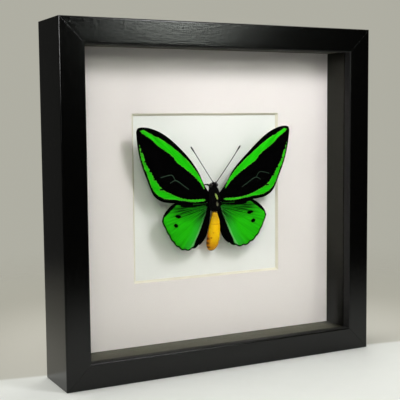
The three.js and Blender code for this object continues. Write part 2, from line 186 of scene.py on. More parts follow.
def make_bottom_rail():
    """The wall, with the lip drawn out of it, its arrises eased and both ends cut at 45 degrees."""
    rail = box_piece("moulding_bottom", (-side / 2, front_y, 0), (side / 2, back_y, rail_wall))
    open_mesh(rail, picked="SELECT")
    bpy.ops.mesh.bisect(plane_co=(0, lip_back_y, 0), plane_no=(0, 1, 0))
    pick_faces(rail, lambda middle, normal: normal.z > 0.9 and middle.y < lip_back_y)
    drawn = {"value": (0, 0, rail_face - rail_wall)}
    bpy.ops.mesh.extrude_region_move(TRANSFORM_OT_translate=drawn)

    fronts = [(front_y, 0), (front_y, rail_face)]
    backs = [(back_y, 0), (back_y, rail_wall), (lip_back_y, rail_face)]
    for corners, radius, segments in ((fronts, front_arris, 6), (backs, back_arris, 3)):
        pick_edges(
            rail,
            lambda middle, direction: abs(direction.x) > 0.9
            and any(near(middle.y, y) and near(middle.z, z) for y, z in corners),
        )
        bpy.ops.mesh.bevel(offset=radius, segments=segments, affect="EDGES")

    for end in (-1, 1):
        bpy.ops.mesh.select_all(action="SELECT")
        bpy.ops.mesh.bisect(
            plane_co=(end * (side / 2 - mitre_gap), 0, 0),
            plane_no=(-end, 0, -1),
            use_fill=True,
            clear_inner=True,
        )
    pick_edges(
        rail,
        lambda middle, direction: near(middle.y, front_y)
        and abs(direction.x) > 0.6
        and abs(direction.z) > 0.6,
    )
    bpy.ops.mesh.bevel(offset=mitre_chamfer, segments=2, affect="EDGES")
    pick_edges(
        rail,
        lambda middle, direction: abs(direction.y) > 0.9
        and middle.z < 0.1 * MM
        and abs(middle.x) > side / 2 - 0.2 * MM,
    )
    bpy.ops.mesh.bevel(offset=corner_arris, segments=2, affect="EDGES")
    close_mesh()
    return rail


def cut_tab_slot(rail, along):
    """A slot through the rail's inner wall, a little larger than the tab's root."""
    low = (along - slot_half_width, tab_middle_y - slot_half_height, rail_wall - slot_depth)
    high = (along + slot_half_width, tab_middle_y + slot_half_height, rail_wall + MM)
    cutter = box_piece("slot_cutter", low, high)
    apply_modifier(rail, "BOOLEAN", operation="DIFFERENCE", object=cutter, solver="EXACT")
    bpy.data.objects.remove(cutter)


def turned_copy(source, name, quarters):
    """A copy turned by quarter turns about the middle of the frame's opening."""
    pick_only(source)
    bpy.ops.object.duplicate(linked=False)
    piece = bpy.context.object
    piece.name = name
    piece.data.name = name
    open_mesh(piece, picked="SELECT")
    bpy.ops.transform.rotate(
        value=quarters * QUARTER, orient_axis="Y", center_override=(0, 0, middle_z)
    )
    close_mesh()
    return piece


def colour(red, green, blue):
    """A display colour of 0 to 255 as the linear values that a socket takes."""
    shares = [value / 255 for value in (red, green, blue)]
    linear = [s / 12.92 if s <= 0.04045 else ((s + 0.055) / 1.055) ** 2.4 for s in shares]
    return (*linear, 1)


def add_node(tree, kind, inputs=None, **settings):
    """A node with its settings, and with each input set to a value or linked to a socket."""
    node = tree.nodes.new(kind)
    for setting, value in settings.items():
        setattr(node, setting, value)
    for name, value in (inputs or {}).items():
        if isinstance(value, bpy.types.NodeSocket):
            tree.links.new(value, node.inputs[name])
        else:
            node.inputs[name].default_value = value
    return node


def maths(tree, operation, *inputs):
    return add_node(
        tree, "ShaderNodeMath", dict(enumerate(inputs)), operation=operation
    ).outputs[0]


def vector_maths(tree, operation, *inputs):
    """A sum on vectors, whose answer is one number for a length or a dot product."""
    node = add_node(tree, "ShaderNodeVectorMath", dict(enumerate(inputs)), operation=operation)
    return node.outputs["Value" if operation in ("LENGTH", "DOT_PRODUCT") else "Vector"]


def noise(tree, place, scale, detail, roughness=0.5):
    """Soft clouds of 0 to 1, finer as the scale and the detail go up."""
    inputs = {"Vector": place, "Scale": scale, "Detail": detail, "Roughness": roughness}
    return add_node(tree, "ShaderNodeTexNoise", inputs).outputs["Fac"]


def blank_group(name, inputs, outputs):
    """A shader node group with named sockets, as (group, its input node, its output node)."""
    group = bpy.data.node_groups.new(name, "ShaderNodeTree")
    for socket, kind, value in inputs:
        made = group.interface.new_socket(name=socket, in_out="INPUT", socket_type=kind)
        if value is not None:
            made.default_value = value
    for socket, kind in outputs:
        group.interface.new_socket(name=socket, in_out="OUTPUT", socket_type=kind)
    return group, group.nodes.new("NodeGroupInput"), group.nodes.new("NodeGroupOutput")


def stretched_grain_group():
    """Fine lines drawn out along one direction, as brush marks, wood grain or paper fibre."""
    group, given, out = blank_group(
        "stretched grain",
        [
            ("Vector", "NodeSocketVector", None),
            ("Stretch", "NodeSocketVector", (1, 1, 1)),
            ("Scale", "NodeSocketFloat", 1000),
        ],
        [("Height", "NodeSocketFloat"), ("Cloud", "NodeSocketFloat")],
    )
    place, stretch, scale = given.outputs["Vector"], given.outputs["Stretch"], given.outputs["Scale"]
    drawn = vector_maths(group, "MULTIPLY", place, stretch)
    group.links.new(noise(group, drawn, scale, 5, 0.6), out.inputs["Height"])
    group.links.new(noise(group, place, 38, 3, 0.55), out.inputs["Cloud"])
    return group


grain = stretched_grain_group()


def new_material(name):
    """A material, its tree, its Principled shader and its Object coordinates."""
    material = bpy.data.materials.new(name)
    material.use_nodes = True
    tree = material.node_tree
    place = tree.nodes.new("ShaderNodeTexCoord").outputs["Object"]
    return material, tree, tree.nodes["Principled BSDF"], place


def grain_of(tree, place, stretch, scale):
    """The grain's fine lines and its broad clouds, as two masks of 0 to 1."""
    inputs = {"Vector": place, "Stretch": stretch, "Scale": scale}
    node = add_node(tree, "ShaderNodeGroup", inputs, node_tree=grain)
    return node.outputs["Height"], node.outputs["Cloud"]


def spread_value(tree, value, low, high):
    """A mask of 0 to 1 brought to the range from low to high."""
    return add_node(
        tree, "ShaderNodeMapRange", {"Value": value, "To Min": low, "To Max": high}
    ).outputs["Result"]


def blended(tree, share, first, second):
    """The colour between two colours or colour sockets."""
    mix = add_node(tree, "ShaderNodeMix", {0: share, 6: first, 7: second}, data_type="RGBA")
    return mix.outputs[2]


def link_bump(tree, shader, height, strength, distance):
    bump = add_node(
        tree, "ShaderNodeBump", {"Height": height, "Strength": strength, "Distance": distance}
    )
    tree.links.new(bump.outputs["Normal"], shader.inputs["Normal"])


def link_finish(tree, shader, tone, dull):
    """Links a finish's colour, and its roughness, given as (mask, lowest, highest)."""
    tree.links.new(tone, shader.inputs["Base Color"])
    tree.links.new(spread_value(tree, *dull), shader.inputs["Roughness"])


def soft_step(tree, value, low, high):
    """0 below low, 1 above high, and smooth between."""
    return add_node(
        tree,
        "ShaderNodeMapRange",
        {"Value": value, "From Min": low, "From Max": high},
        interpolation_type="SMOOTHSTEP",
    ).outputs["Result"]


def from_opening_middle(tree, place):
    """How far a point is out to the side, and up or down, from the middle of the opening."""
    offset = vector_maths(tree, "ADD", place, (0, 0, -middle_z))
    parts = add_node(tree, "ShaderNodeSeparateXYZ", {0: vector_maths(tree, "ABSOLUTE", offset)})
    return parts.outputs["X"], parts.outputs["Z"]


def rail_paint(name, stretch, relief):
    """Satin black paint brushed along the rail, with a painted highlight along the mitres, and dull
    inside the lip.
    """
    material, tree, shader, place = new_material(name)
    lines, _ = grain_of(tree, place, stretch, 1000)
    out, up = from_opening_middle(tree, place)
    # Painted highlight: a lighter grey line along each mitre, broken up by the grain.
    off_mitre = maths(tree, "ABSOLUTE", maths(tree, "SUBTRACT", out, up))
    mitre_highlight = soft_step(tree, off_mitre, mitre_highlight_reach, 0.4 * mitre_highlight_reach)
    mitre_highlight = maths(tree, "MULTIPLY", mitre_highlight, soft_step(tree, lines, 0.45, 0.6))
    tone = blended(tree, lines, colour(1, 1, 1), colour(6, 6, 5))
    tone = blended(tree, mitre_highlight, tone, colour(44, 45, 43))
    tree.links.new(tone, shader.inputs["Base Color"])
    inside_lip = soft_step(tree, maths(tree, "MAXIMUM", out, up), dull_lip_from, dull_lip_full)
    duller = maths(tree, "MULTIPLY", inside_lip, 0.55)
    gloss = maths(tree, "ADD", spread_value(tree, lines, 0.05, 0.26), duller)
    tree.links.new(gloss, shader.inputs["Roughness"])
    shader.inputs["IOR"].default_value = 1.41
    link_bump(tree, shader, lines, relief, 0.12 * MM)
    return material


level_paint = rail_paint("satin black along x", (0.2, 1, 1), 0.75)
upright_paint = rail_paint("satin black along z", (1, 1, 0.12), 0.25)

bottom_rail = make_bottom_rail()
for tab_along in (-tab_from_centre, tab_from_centre):
    cut_tab_slot(bottom_rail, tab_along)
smooth_between(bottom_rail, 40)
for rail_side, turns in (("left", -1), ("top", 2), ("right", 1)):
    turned = turned_copy(bottom_rail, "moulding_" + rail_side, turns)
    rail_finish = level_paint if rail_side == "top" else upright_paint
    finish_piece(turned, rail_finish, "frame_black", "rail_" + rail_side)
finish_piece(bottom_rail, level_paint, "frame_black", "rail_bottom")

# ---- Spacer strips -------------------------------------------------------------------
# Four flat strips of black-faced board, standing on edge inside the rails. They hold the
# glass off the mat. Their inner faces are smooth enough to catch the light off the mat.


# Where the painted shade towards the bottom corners starts and where it is full, up from the bottom
# and out from the middle.
shade_painted_below = 100 * MM
shade_painted_full = 25 * MM
corner_shade_from = 100 * MM
corner_shade_full = 108 * MM


def dress(node_name, material):
    """Puts a material on a solid that keeps its own shape."""
    paint(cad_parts[node_name], material)


def strip_paper(name, stretch, dark, light, shine):
    """Black paper with its fibres along the strip, with painted shade darkening it towards the
    bottom corners.
    """
    material, tree, shader, place = new_material(name)
    fibres, clouds = grain_of(tree, place, stretch, 2200)
    out, _ = from_opening_middle(tree, place)
    height = add_node(tree, "ShaderNodeSeparateXYZ", {0: place}).outputs["Z"]
    # Painted shade, darkest at the bottom corners of the opening.
    shaded_foot = soft_step(tree, height, shade_painted_below, shade_painted_full)
    painted_corner_shade = maths(tree, "MULTIPLY", shaded_foot, soft_step(tree, out, corner_shade_from, corner_shade_full))
    corner_shade_share = spread_value(tree, painted_corner_shade, 0, 0.8)
    tone = blended(tree, corner_shade_share, blended(tree, fibres, dark, light), colour(4, 4, 3))
    link_finish(tree, shader, tone, (clouds, 0.42, 0.54))
    shader.inputs["Specular IOR Level"].default_value = shine
    link_bump(tree, shader, fibres, 0.25, 0.05 * MM)
    return material


# All four strips are one board: the level ones take a lighter tone and the upright ones a darker
# one, as painted light and painted shade.
lit_level_strip = strip_paper(
    "black strip along x", (0.15, 1, 1), colour(59, 59, 48), colour(78, 78, 64), 0.12
)
shaded_upright_strip = strip_paper(
    "black strip along z", (1, 1, 0.15), colour(32, 32, 28), colour(44, 44, 39), 0.05
)
for strip_side, strip_finish in (
    ("top", lit_level_strip),
    ("bottom", lit_level_strip),
    ("left", shaded_upright_strip),
    ("right", shaded_upright_strip),
):
    dress("liner_" + strip_side, strip_finish)

# ---- Glass ---------------------------------------------------------------------------
# One clear pane held between the lip and the spacer strips. Its index is set below that of real
# glass, so that it mirrors little of the table. Lamp light passes straight through it.


def pane_glass():
    material, tree, shader, place = new_material("picture glass")
    shader.inputs["Base Color"].default_value = (0.99, 0.985, 0.98, 1)
    shader.inputs["Transmission Weight"].default_value = 1
    shader.inputs["Roughness"].default_value = 0
    shader.inputs["IOR"].default_value = 1.22
    shader.inputs["Specular IOR Level"].default_value = 0.03
    link_bump(tree, shader, noise(tree, place, 9, 1), 0.02, 0.2 * MM)
    rays = tree.nodes.new("ShaderNodeLightPath")
    clear = add_node(tree, "ShaderNodeBsdfTransparent", {"Color": (0.98, 0.975, 0.97, 1)})
    passed = add_node(
        tree,
        "ShaderNodeMixShader",
        {0: rays.outputs["Is Shadow Ray"], 1: shader.outputs[0], 2: clear.outputs[0]},
    )
    tree.links.new(passed.outputs[0], tree.nodes["Material Output"].inputs["Surface"])
    return material


dress("glass", pane_glass())

# ---- Mat board -----------------------------------------------------------------------
# A warm white board with a square window, its edge cut at 45 degrees to show a cream core.
# The face is lightly toothed paper.

window_bevel_from = 61.75 * MM
core_edge = 0.12 * MM


def mat_paper():
    material, tree, shader, place = new_material("warm white mat board")
    fibres, _ = grain_of(tree, place, (0.6, 1, 1), 1300)
    reach = maths(tree, "MAXIMUM", *from_opening_middle(tree, place))
    face = soft_step(tree, reach, window_bevel_from - core_edge, window_bevel_from)
    paper = blended(tree, fibres, colour(231, 226, 222), colour(242, 238, 235))
    core = blended(tree, fibres, colour(220, 216, 198), colour(230, 226, 208))
    link_finish(tree, shader, blended(tree, face, core, paper), (fibres, 0.86, 0.98))
    link_bump(tree, shader, fibres, 0.22, 0.06 * MM)
    return material


dress("mat_board", mat_paper())

# ---- Mounting card -------------------------------------------------------------------
# A thick cool-white foam card behind the window, which the insect pin is pushed into.


def foam_card():
    material, tree, shader, place = new_material("cool white card")
    skin, clouds = grain_of(tree, place, (1, 1, 0.7), 900)
    tone = blended(tree, skin, colour(236, 239, 234), colour(243, 245, 241))
    link_finish(tree, shader, tone, (clouds, 0.75, 0.9))
    link_bump(tree, shader, skin, 0.12, 0.05 * MM)
    return material


dress("mounting_card", foam_card())

# ---- Back board ----------------------------------------------------------------------
# Brown hardboard, pressed from wood fibre, with flecks and a faint woven print of the press.


def pressed_fibre():
    material, tree, shader, place = new_material("brown hardboard")
    fibres, clouds = grain_of(tree, place, (1, 1, 1), 620)
    threads = {"Vector": place, "Scale": 180, "Distortion": 0.6, "Detail": 1}
    prints = [
        add_node(tree, "ShaderNodeTexWave", threads, bands_direction=way).outputs["Fac"]
        for way in ("X", "Z")
    ]
    flecks = add_node(
        tree, "ShaderNodeMapRange", {"Value": fibres, "From Min": 0.35, "From Max": 0.7}
    ).outputs["Result"]
    tone = blended(tree, flecks, colour(92, 60, 37), colour(150, 108, 70))
    aged = blended(tree, clouds, tone, colour(120, 82, 52))
    link_finish(tree, shader, aged, (fibres, 0.62, 0.85))
    link_bump(tree, shader, maths(tree, "MULTIPLY", *prints), 0.4, 0.12 * MM)
    return material


dress("back_board", pressed_fibre())

# ---- Steel tabs, hanger, nails and pin -----------------------------------------------
# Spring-steel tabs pushed into the rails' slots hold the back board in. The toothed hanger is
# pressed from thin sheet and nailed on. The insect pin is drawn wire.


def bare_steel(name, tint, stretch, low_gloss, high_gloss):
    material, tree, shader, place = new_material(name)
    drawn, clouds = grain_of(tree, place, stretch, 2600)
    dark = tuple(0.72 * part for part in tint[:3]) + (1,)
    link_finish(
        tree, shader, blended(tree, clouds, dark, tint), (drawn, low_gloss, high_gloss)
    )
    shader.inputs["Metallic"].default_value = 1
    link_bump(tree, shader, drawn, 0.2, 0.02 * MM)
    return material


spring_steel = bare_steel("spring steel", colour(176, 178, 181), (0.2, 1, 1), 0.25, 0.42)
zinc_sheet = bare_steel("zinc plated sheet", colour(196, 193, 181), (0.1, 1, 1), 0.3, 0.5)
nail_steel = bare_steel("bright nail steel", colour(186, 186, 184), (1, 1, 1), 0.22, 0.36)
for tab_side in ("bottom", "left", "top", "right"):
    for tab_number in (1, 2):
        dress(f"tab_{tab_side}_{tab_number}", spring_steel)
dress("hanger", zinc_sheet)
dress("hanger_nail_left", nail_steel)
dress("hanger_nail_right", nail_steel)
dress("insect_pin", bare_steel("drawn pin wire", colour(150, 152, 156), (1, 0.05, 1), 0.2, 0.3))

# ---- Abdomen -------------------------------------------------------------------------
# Seven rings of stiff golden cuticle, each lapping a little over the next one down, with
# brown marks along the flanks and painted shade at the waist. It droops back towards the card at its
# tip.

# Rows of (z, y of the middle, half width), in millimetres from the tip up to the waist.
ABDOMEN_ROWS = [
    (83.6, 6.9, 1.2),
    (84.9, 6.4, 2.7),
    (87.2, 5.4, 4.1),
    (90.8, 4.2, 4.8),
    (95.0, 2.9, 4.9),
    (99.6, 1.8, 4.5),
    (104.0, 0.9, 3.9),
    (107.8, 0.5, 3.3),
    (110.8, 0.5, 2.4),
    (113.4, 0.8, 1.8),
    (115.2, 1.2, 1.4),
]
ABDOMEN_RINGS = 7
STEPS_PER_RING = 6
RING_LAP = 0.07


def smooth_path(points, count):
    """Evenly spaced points on a smooth curve through the given ones."""
    knots = [np.array(point, float) for point in points]
    knots = [2 * knots[0] - knots[1], *knots, 2 * knots[-1] - knots[-2]]
    dense = []
    for before, start, end, after in zip(knots, knots[1:], knots[2:], knots[3:]):
        spans = [
            max(np.linalg.norm(b - a) ** 0.5, 1e-6)
            for a, b in ((before, start), (start, end), (end, after))
        ]
        first, middle, last = spans
        leaving = (start - before) / first - (end - before) / (first + middle)
        leaving = (leaving + (end - start) / middle) * middle
        arriving = (end - start) / middle - (after - start) / (middle + last)
        arriving = (arriving + (after - end) / last) * middle
        for t in np.linspace(0, 1, 24, endpoint=False):
            dense.append(
                (2 * t**3 - 3 * t**2 + 1) * start
                + (t**3 - 2 * t**2 + t) * leaving
                + (3 * t**2 - 2 * t**3) * end
                + (t**3 - t**2) * arriving
            )
    dense = np.array([*dense, knots[-2]])
    reached = np.concatenate([[0], np.cumsum(np.linalg.norm(np.diff(dense, axis=0), axis=1))])
    wanted = np.linspace(0, reached[-1], count)
    return np.stack([np.interp(wanted, reached, dense[:, i]) for i in range(dense.shape[1])], 1)


def drawn_body(name, rows, sides):
    """A ring of points drawn up row by row as (z, y, half width, half depth), then closed."""
    z, y, half_width, half_depth = rows[0]
    deselect_all()
    bpy.ops.mesh.primitive_circle_add(vertices=sides, radius=MM, location=(0, y * MM, z * MM))
    body = settle(bpy.context.object, name)
    open_mesh(body, "VERT", "SELECT")
    centre = (0, y * MM, z * MM)
    bpy.ops.transform.resize(value=(half_width, half_depth, 1), center_override=centre)
    for next_z, next_y, next_width, next_depth in rows[1:]:
        step = {"value": (0, (next_y - y) * MM, (next_z - z) * MM)}
        bpy.ops.mesh.extrude_region_move(TRANSFORM_OT_translate=step)
        growth = (next_width / half_width, next_depth / half_depth, 1)
        centre = (0, next_y * MM, next_z * MM)
        bpy.ops.transform.resize(value=growth, center_override=centre)
        z, y, half_width, half_depth = next_z, next_y, next_width, next_depth
    bpy.ops.mesh.select_all(action="SELECT")
    bpy.ops.mesh.fill_holes(sides=0)
    bpy.ops.mesh.select_all(action="SELECT")
    bpy.ops.mesh.normals_make_consistent(inside=False)
    close_mesh()
    return body


def ringed_rows():
    """Rows close enough to show each ring's lap over the one below it."""
    path = smooth_path([(w, y, z) for z, y, w in ABDOMEN_ROWS], ABDOMEN_RINGS * STEPS_PER_RING + 1)
    rows = []
    for step, (half_width, y, z) in enumerate(path):
        share = step % STEPS_PER_RING / STEPS_PER_RING
        lap = RING_LAP * (1 - share) ** 2 if 0 < step < len(path) - 1 else 0
        edge = 1.6 * RING_LAP if step % STEPS_PER_RING == STEPS_PER_RING - 1 else 0
        rows.append((z, y, half_width + lap - edge, 0.96 * half_width + lap - edge))
    return rows


def smooth_piece(piece, levels):
    apply_modifier(piece, "SUBSURF", levels=levels, render_levels=levels)
    bpy.ops.object.shade_smooth()


def spot_mask(tree, place, centre, radii, soft, tilt=0.0):
    """1 inside a soft-edged ellipsoid at a place on the piece, 0 outside."""
    inputs = {
        "Vector": place,
        "Location": tuple(part * MM for part in centre),
        "Rotation": (0, math.radians(tilt), 0),
        "Scale": tuple(part * MM for part in radii),
    }
    local = add_node(tree, "ShaderNodeMapping", inputs, vector_type="TEXTURE").outputs[0]
    return soft_step(tree, vector_maths(tree, "LENGTH", local), 1 + soft, 1 - soft)


def gold_cuticle():
    material, tree, shader, place = new_material("golden cuticle")
    fibres, _ = grain_of(tree, place, (1, 1, 0.2), 1400)
    gold = blended(tree, fibres, colour(228, 168, 0), colour(246, 206, 0))
    tip = spot_mask(tree, place, (-1, 5, 86), (7, 8, 6), 0.6)
    gold = blended(tree, spread_value(tree, tip, 0, 0.8), gold, colour(216, 142, 2))
    # Painted shade: the top of the abdomen, where it meets the thorax, is darker.
    painted_waist_shade = spot_mask(tree, place, (0, 0, 114), (8, 9, 7), 0.6)
    gold = blended(tree, spread_value(tree, painted_waist_shade, 0, 0.75), gold, colour(176, 136, 0))
    marks = [
        ((-5.2, 3.2, 92.0), (1.6, 4.5, 8.0), colour(196, 112, 2)),
        ((-4.6, 3.6, 93.5), (1.3, 2.4, 1.1), colour(84, 36, 2)),
        ((-4.2, 4.4, 90.0), (1.3, 2.4, 1.2), colour(72, 30, 2)),
        ((-3.7, 4.8, 86.8), (1.6, 2.4, 0.8), colour(84, 36, 2)),
        ((-3.6, -0.6, 94.2), (0.7, 1.2, 0.6), colour(150, 74, 2)),
        ((-2.2, -1.4, 98.2), (0.5, 1.0, 0.5), colour(190, 112, 2)),
        ((2.2, -1.8, 93.5), (0.7, 1.0, 0.5), colour(176, 100, 6)),
        ((1.9, -0.6, 90.0), (0.7, 1.0, 0.5), colour(176, 100, 6)),
        ((4.9, 4.4, 93.5), (1.2, 1.9, 1.2), colour(80, 36, 4)),
        ((4.4, 5.2, 90.0), (1.2, 1.9, 1.3), colour(72, 32, 4)),
        ((0, 6.0, 83.6), (2.4, 5.0, 0.8), colour(26, 16, 6)),
        ((0, 0, 104.6), (4.6, 6.0, 0.2), colour(176, 108, 6)),
        # Painted shade at the waist, where the abdomen meets the thorax.
        ((0, 0, 114.2), (3.2, 6.0, 1.2), colour(60, 36, 8)),
    ]
    for centre, radii, tint in marks:
        mark = spot_mask(tree, place, centre, radii, 0.5)
        gold = blended(tree, spread_value(tree, mark, 0, 0.9), gold, tint)
    link_finish(tree, shader, gold, (fibres, 0.42, 0.62))
    shader.inputs["Specular IOR Level"].default_value = 0.15
    link_bump(tree, shader, fibres, 0.3, 0.05 * MM)
    return material


abdomen = drawn_body("abdomen_rings", ringed_rows(), 40)
smooth_piece(abdomen, 1)
finish_piece(abdomen, gold_cuticle(), "body_gold", "abdomen")

# ---- Thorax --------------------------------------------------------------------------
# A hard barrel that carries the wings, covered in black velvet hair with a pale green stripe
# down the middle of the back. The hair is rooted all over it and lies towards the tail.

# Rows of (z, y of the middle, half width, half depth), from the waist up to the neck.
THORAX_ROWS = [
    (114.2, 1.2, 2.2, 2.2),
    (115.6, 1.4, 3.4, 3.1),
    (118.0, 1.6, 4.3, 3.8),
    (121.0, 1.7, 4.6, 4.1),
    (124.0, 1.7, 4.6, 4.2),
    (127.0, 1.8, 4.3, 3.9),
    (129.4, 2.0, 3.6, 3.2),
    (131.4, 2.1, 2.9, 2.5),
    (132.6, 2.2, 1.6, 1.5),
]
HAIR_TIP = 0.15
HAIR_STREW = 0.35
HAIR_SHORTEST = 0.55
HAIR_LONGEST = 1.15


def hair_growth(body, per_mm2, length, thickness, lean, seed):
    """Grows short tapered hairs out of a piece, all leaning one way, and joins them to it."""
    tree = bpy.data.node_groups.new("hair growth", "GeometryNodeTree")
    for way in ("INPUT", "OUTPUT"):
        tree.interface.new_socket(name="Geometry", in_out=way, socket_type="NodeSocketGeometry")
    skin = tree.nodes.new("NodeGroupInput").outputs["Geometry"]
    roots = add_node(
        tree,
        "GeometryNodeDistributePointsOnFaces",
        {"Mesh": skin, "Density": per_mm2 / MM**2, "Seed": seed},
    )
    hair = add_node(
        tree,
        "GeometryNodeMeshCone",
        {
            "Vertices": 4,
            "Side Segments": 1,
            "Radius Top": HAIR_TIP * thickness * MM,
            "Radius Bottom": thickness * MM,
            "Depth": length * MM,
        },
        fill_type="NGON",
    )
    strewn = add_node(
        tree,
        "FunctionNodeRandomValue",
        {"Min": (-HAIR_STREW,) * 3, "Max": (HAIR_STREW,) * 3, "Seed": seed + 1},
        data_type="FLOAT_VECTOR",
    )
    leaning = vector_maths(tree, "ADD", roots.outputs["Normal"], lean)
    leaning = vector_maths(tree, "ADD", leaning, strewn.outputs[0])
    turned_to = add_node(
        tree, "FunctionNodeAlignRotationToVector", {"Vector": leaning}, axis="Z"
    )
    grown = add_node(
        tree,
        "FunctionNodeRandomValue",
        {2: HAIR_SHORTEST, 3: HAIR_LONGEST, "Seed": seed + 2},
        data_type="FLOAT",
    )
    set_out = add_node(
        tree,
        "GeometryNodeInstanceOnPoints",
        {
            "Points": roots.outputs["Points"],
            "Instance": hair.outputs["Mesh"],
            "Rotation": turned_to.outputs["Rotation"],
            "Scale": grown.outputs[1],
        },
    )
    made_real = add_node(
        tree, "GeometryNodeRealizeInstances", {"Geometry": set_out.outputs["Instances"]}
    )
    together = tree.nodes.new("GeometryNodeJoinGeometry")
    tree.links.new(skin, together.inputs[0])
    tree.links.new(made_real.outputs[0], together.inputs[0])
    out = tree.nodes.new("NodeGroupOutput")
    tree.links.new(together.outputs[0], out.inputs[0])
    apply_modifier(body, "NODES", node_group=tree)
    bpy.data.node_groups.remove(tree)


def black_fur():
    """Velvet black, with the pale stripe of scales down the middle of the back."""
    material, tree, shader, place = new_material("black body fur")
    tufts, _ = grain_of(tree, place, (1, 1, 0.3), 1800)
    black = blended(tree, tufts, colour(2, 2, 3), colour(14, 13, 12))
    stripe = spot_mask(tree, place, (0.1, -3.2, 125.2), (0.85, 3.4, 2.5), 0.2, -20)
    pale = blended(tree, tufts, colour(150, 190, 70), colour(214, 232, 140))
    # A grey patch on the black fur, below the stripe.
    grey_patch = spot_mask(tree, place, (0.6, -3.0, 119.6), (0.8, 2.6, 1.7), 0.4, -12)
    black_and_grey_patch = blended(tree, spread_value(tree, grey_patch, 0, 0.55), black, colour(150, 150, 118))
    link_finish(tree, shader, blended(tree, stripe, black_and_grey_patch, pale), (tufts, 0.7, 0.95))
    shader.inputs["Specular IOR Level"].default_value = 0.08
    link_bump(tree, shader, tufts, 0.4, 0.05 * MM)
    return material


fur = black_fur()
thorax = drawn_body("thorax_furred", THORAX_ROWS, 32)
smooth_piece(thorax, 2)
hair_growth(thorax, 22, 0.95, 0.05, (0, 0, -1.1), 11)
finish_piece(thorax, fur, "body_black", "thorax")

# ---- Head ----------------------------------------------------------------------------
# A small round head between two bulging eyes, with two furry palps that curl up in front.

HEAD_CENTRE = (0, 2.3, 133.2)
HEAD_RADII = (2.5, 2.2, 2.0)
EYE_RADIUS = 1.55
EYE_OUT = 2.1
PALP = [(0.8, 2.3, 133.2), (1.0, 0.8, 134.4), (1.0, 0.2, 136.0)]


def scaled_ball(name, centre, radii, segments):
    deselect_all()
    bpy.ops.mesh.primitive_uv_sphere_add(
        segments=segments,
        ring_count=segments // 2,
        radius=MM,
        location=tuple(part * MM for part in centre),
    )
    ball = bpy.context.object
    ball.scale = radii
    return settle(ball, name)


def round_limb(name, points, stops, steps, bumps=0, bump_height=0.0):
    """A round limb on a smooth path, its radius blended between stops of (share, radius)."""
    curve = bpy.data.curves.new(name, "CURVE")
    curve.dimensions = "3D"
    curve.bevel_depth = MM
    curve.bevel_resolution = 3
    curve.use_fill_caps = True
    line = curve.splines.new("POLY")
    path = smooth_path(points, steps)
    line.points.add(steps - 1)
    shares, radii = zip(*stops)
    for i, (point, at) in enumerate(zip(path, line.points)):
        share = i / (steps - 1)
        swell = bump_height * abs(math.sin(math.pi * bumps * share))
        at.co = (*(point * MM), 1)
        at.radius = float(np.interp(share, shares, radii)) + swell
    limb = bpy.data.objects.new(name, curve)
    bpy.context.scene.collection.objects.link(limb)
    pick_only(limb)
    bpy.ops.object.convert(target="MESH")
    bpy.ops.object.shade_smooth()
    return bpy.context.object


def joined(main, *others):
    deselect_all()
    for part in (main, *others):
        part.select_set(True)
    bpy.context.view_layer.objects.active = main
    bpy.ops.object.join()
    return main


def eye_surface():
    """Dark brown and glossy, with the fine six-sided facets of a compound eye."""
    material, tree, shader, place = new_material("compound eye")
    cells = add_node(tree, "ShaderNodeTexVoronoi", {"Vector": place, "Scale": 5200})
    facets = cells.outputs["Distance"]
    tone = blended(tree, facets, colour(34, 24, 16), colour(12, 9, 8))
    link_finish(tree, shader, tone, (facets, 0.28, 0.4))
    link_bump(tree, shader, facets, 0.25, 0.03 * MM)
    return material


eye_finish = eye_surface()
skull = scaled_ball("head_furred", HEAD_CENTRE, HEAD_RADII, 32)
hair_growth(skull, 20, 0.6, 0.045, (0, -0.4, 0.5), 21)
paint(skull, fur)
for eye_side in (-1, 1):
    eye_at = (eye_side * EYE_OUT, HEAD_CENTRE[1] - 0.3, HEAD_CENTRE[2] + 0.2)
    eye = scaled_ball("eye", eye_at, (EYE_RADIUS,) * 3, 32)
    bpy.ops.object.shade_smooth()
    paint(eye, eye_finish)
    palp_path = [(eye_side * out, y, z) for out, y, z in PALP]
    palp = round_limb("palp", palp_path, [(0, 0.5), (0.7, 0.42), (1, 0.22)], 12)
    hair_growth(palp, 30, 0.35, 0.04, (0, 0, 0.8), 31)
    paint(palp, fur)
    joined(skull, eye, palp)
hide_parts("head")
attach(skull, "root")

# ---- Antennae ------------------------------------------------------------------------
# Two thin black rods in many short rings, swelling to a club before the tip.

ANTENNA = [(1.3, 0.1, 135.4), (6.6, -0.7, 142.6), (13.4, -1.6, 152.0), (20.7, -2.1, 162.4)]
ANTENNA_STOPS = [(0, 0.28), (0.1, 0.25), (0.82, 0.29), (0.93, 0.54), (0.98, 0.5), (1, 0.2)]
ANTENNA_STEPS = 205
ANTENNA_RINGS = 34
RING_SWELL = 0.02


def antenna_skin():
    material, tree, shader, place = new_material("black antenna")
    specks, _ = grain_of(tree, place, (1, 1, 1), 2400)
    tone = blended(tree, specks, colour(4, 4, 4), colour(22, 20, 18))
    link_finish(tree, shader, tone, (specks, 0.4, 0.6))
    return material


chitin = antenna_skin()
for wing_side, sign in (("left", -1), ("right", 1)):
    antenna = round_limb(
        "antenna_ringed_" + wing_side,
        [(sign * out, y, z) for out, y, z in ANTENNA],
        ANTENNA_STOPS,
        ANTENNA_STEPS,
        ANTENNA_RINGS,
        RING_SWELL,
    )
    finish_piece(antenna, chitin, "body_black", "antenna_" + wing_side)

# ---- Legs ----------------------------------------------------------------------------
# Six jointed legs folded behind the body: a thick femur, a thinner tibia and a fine foot.

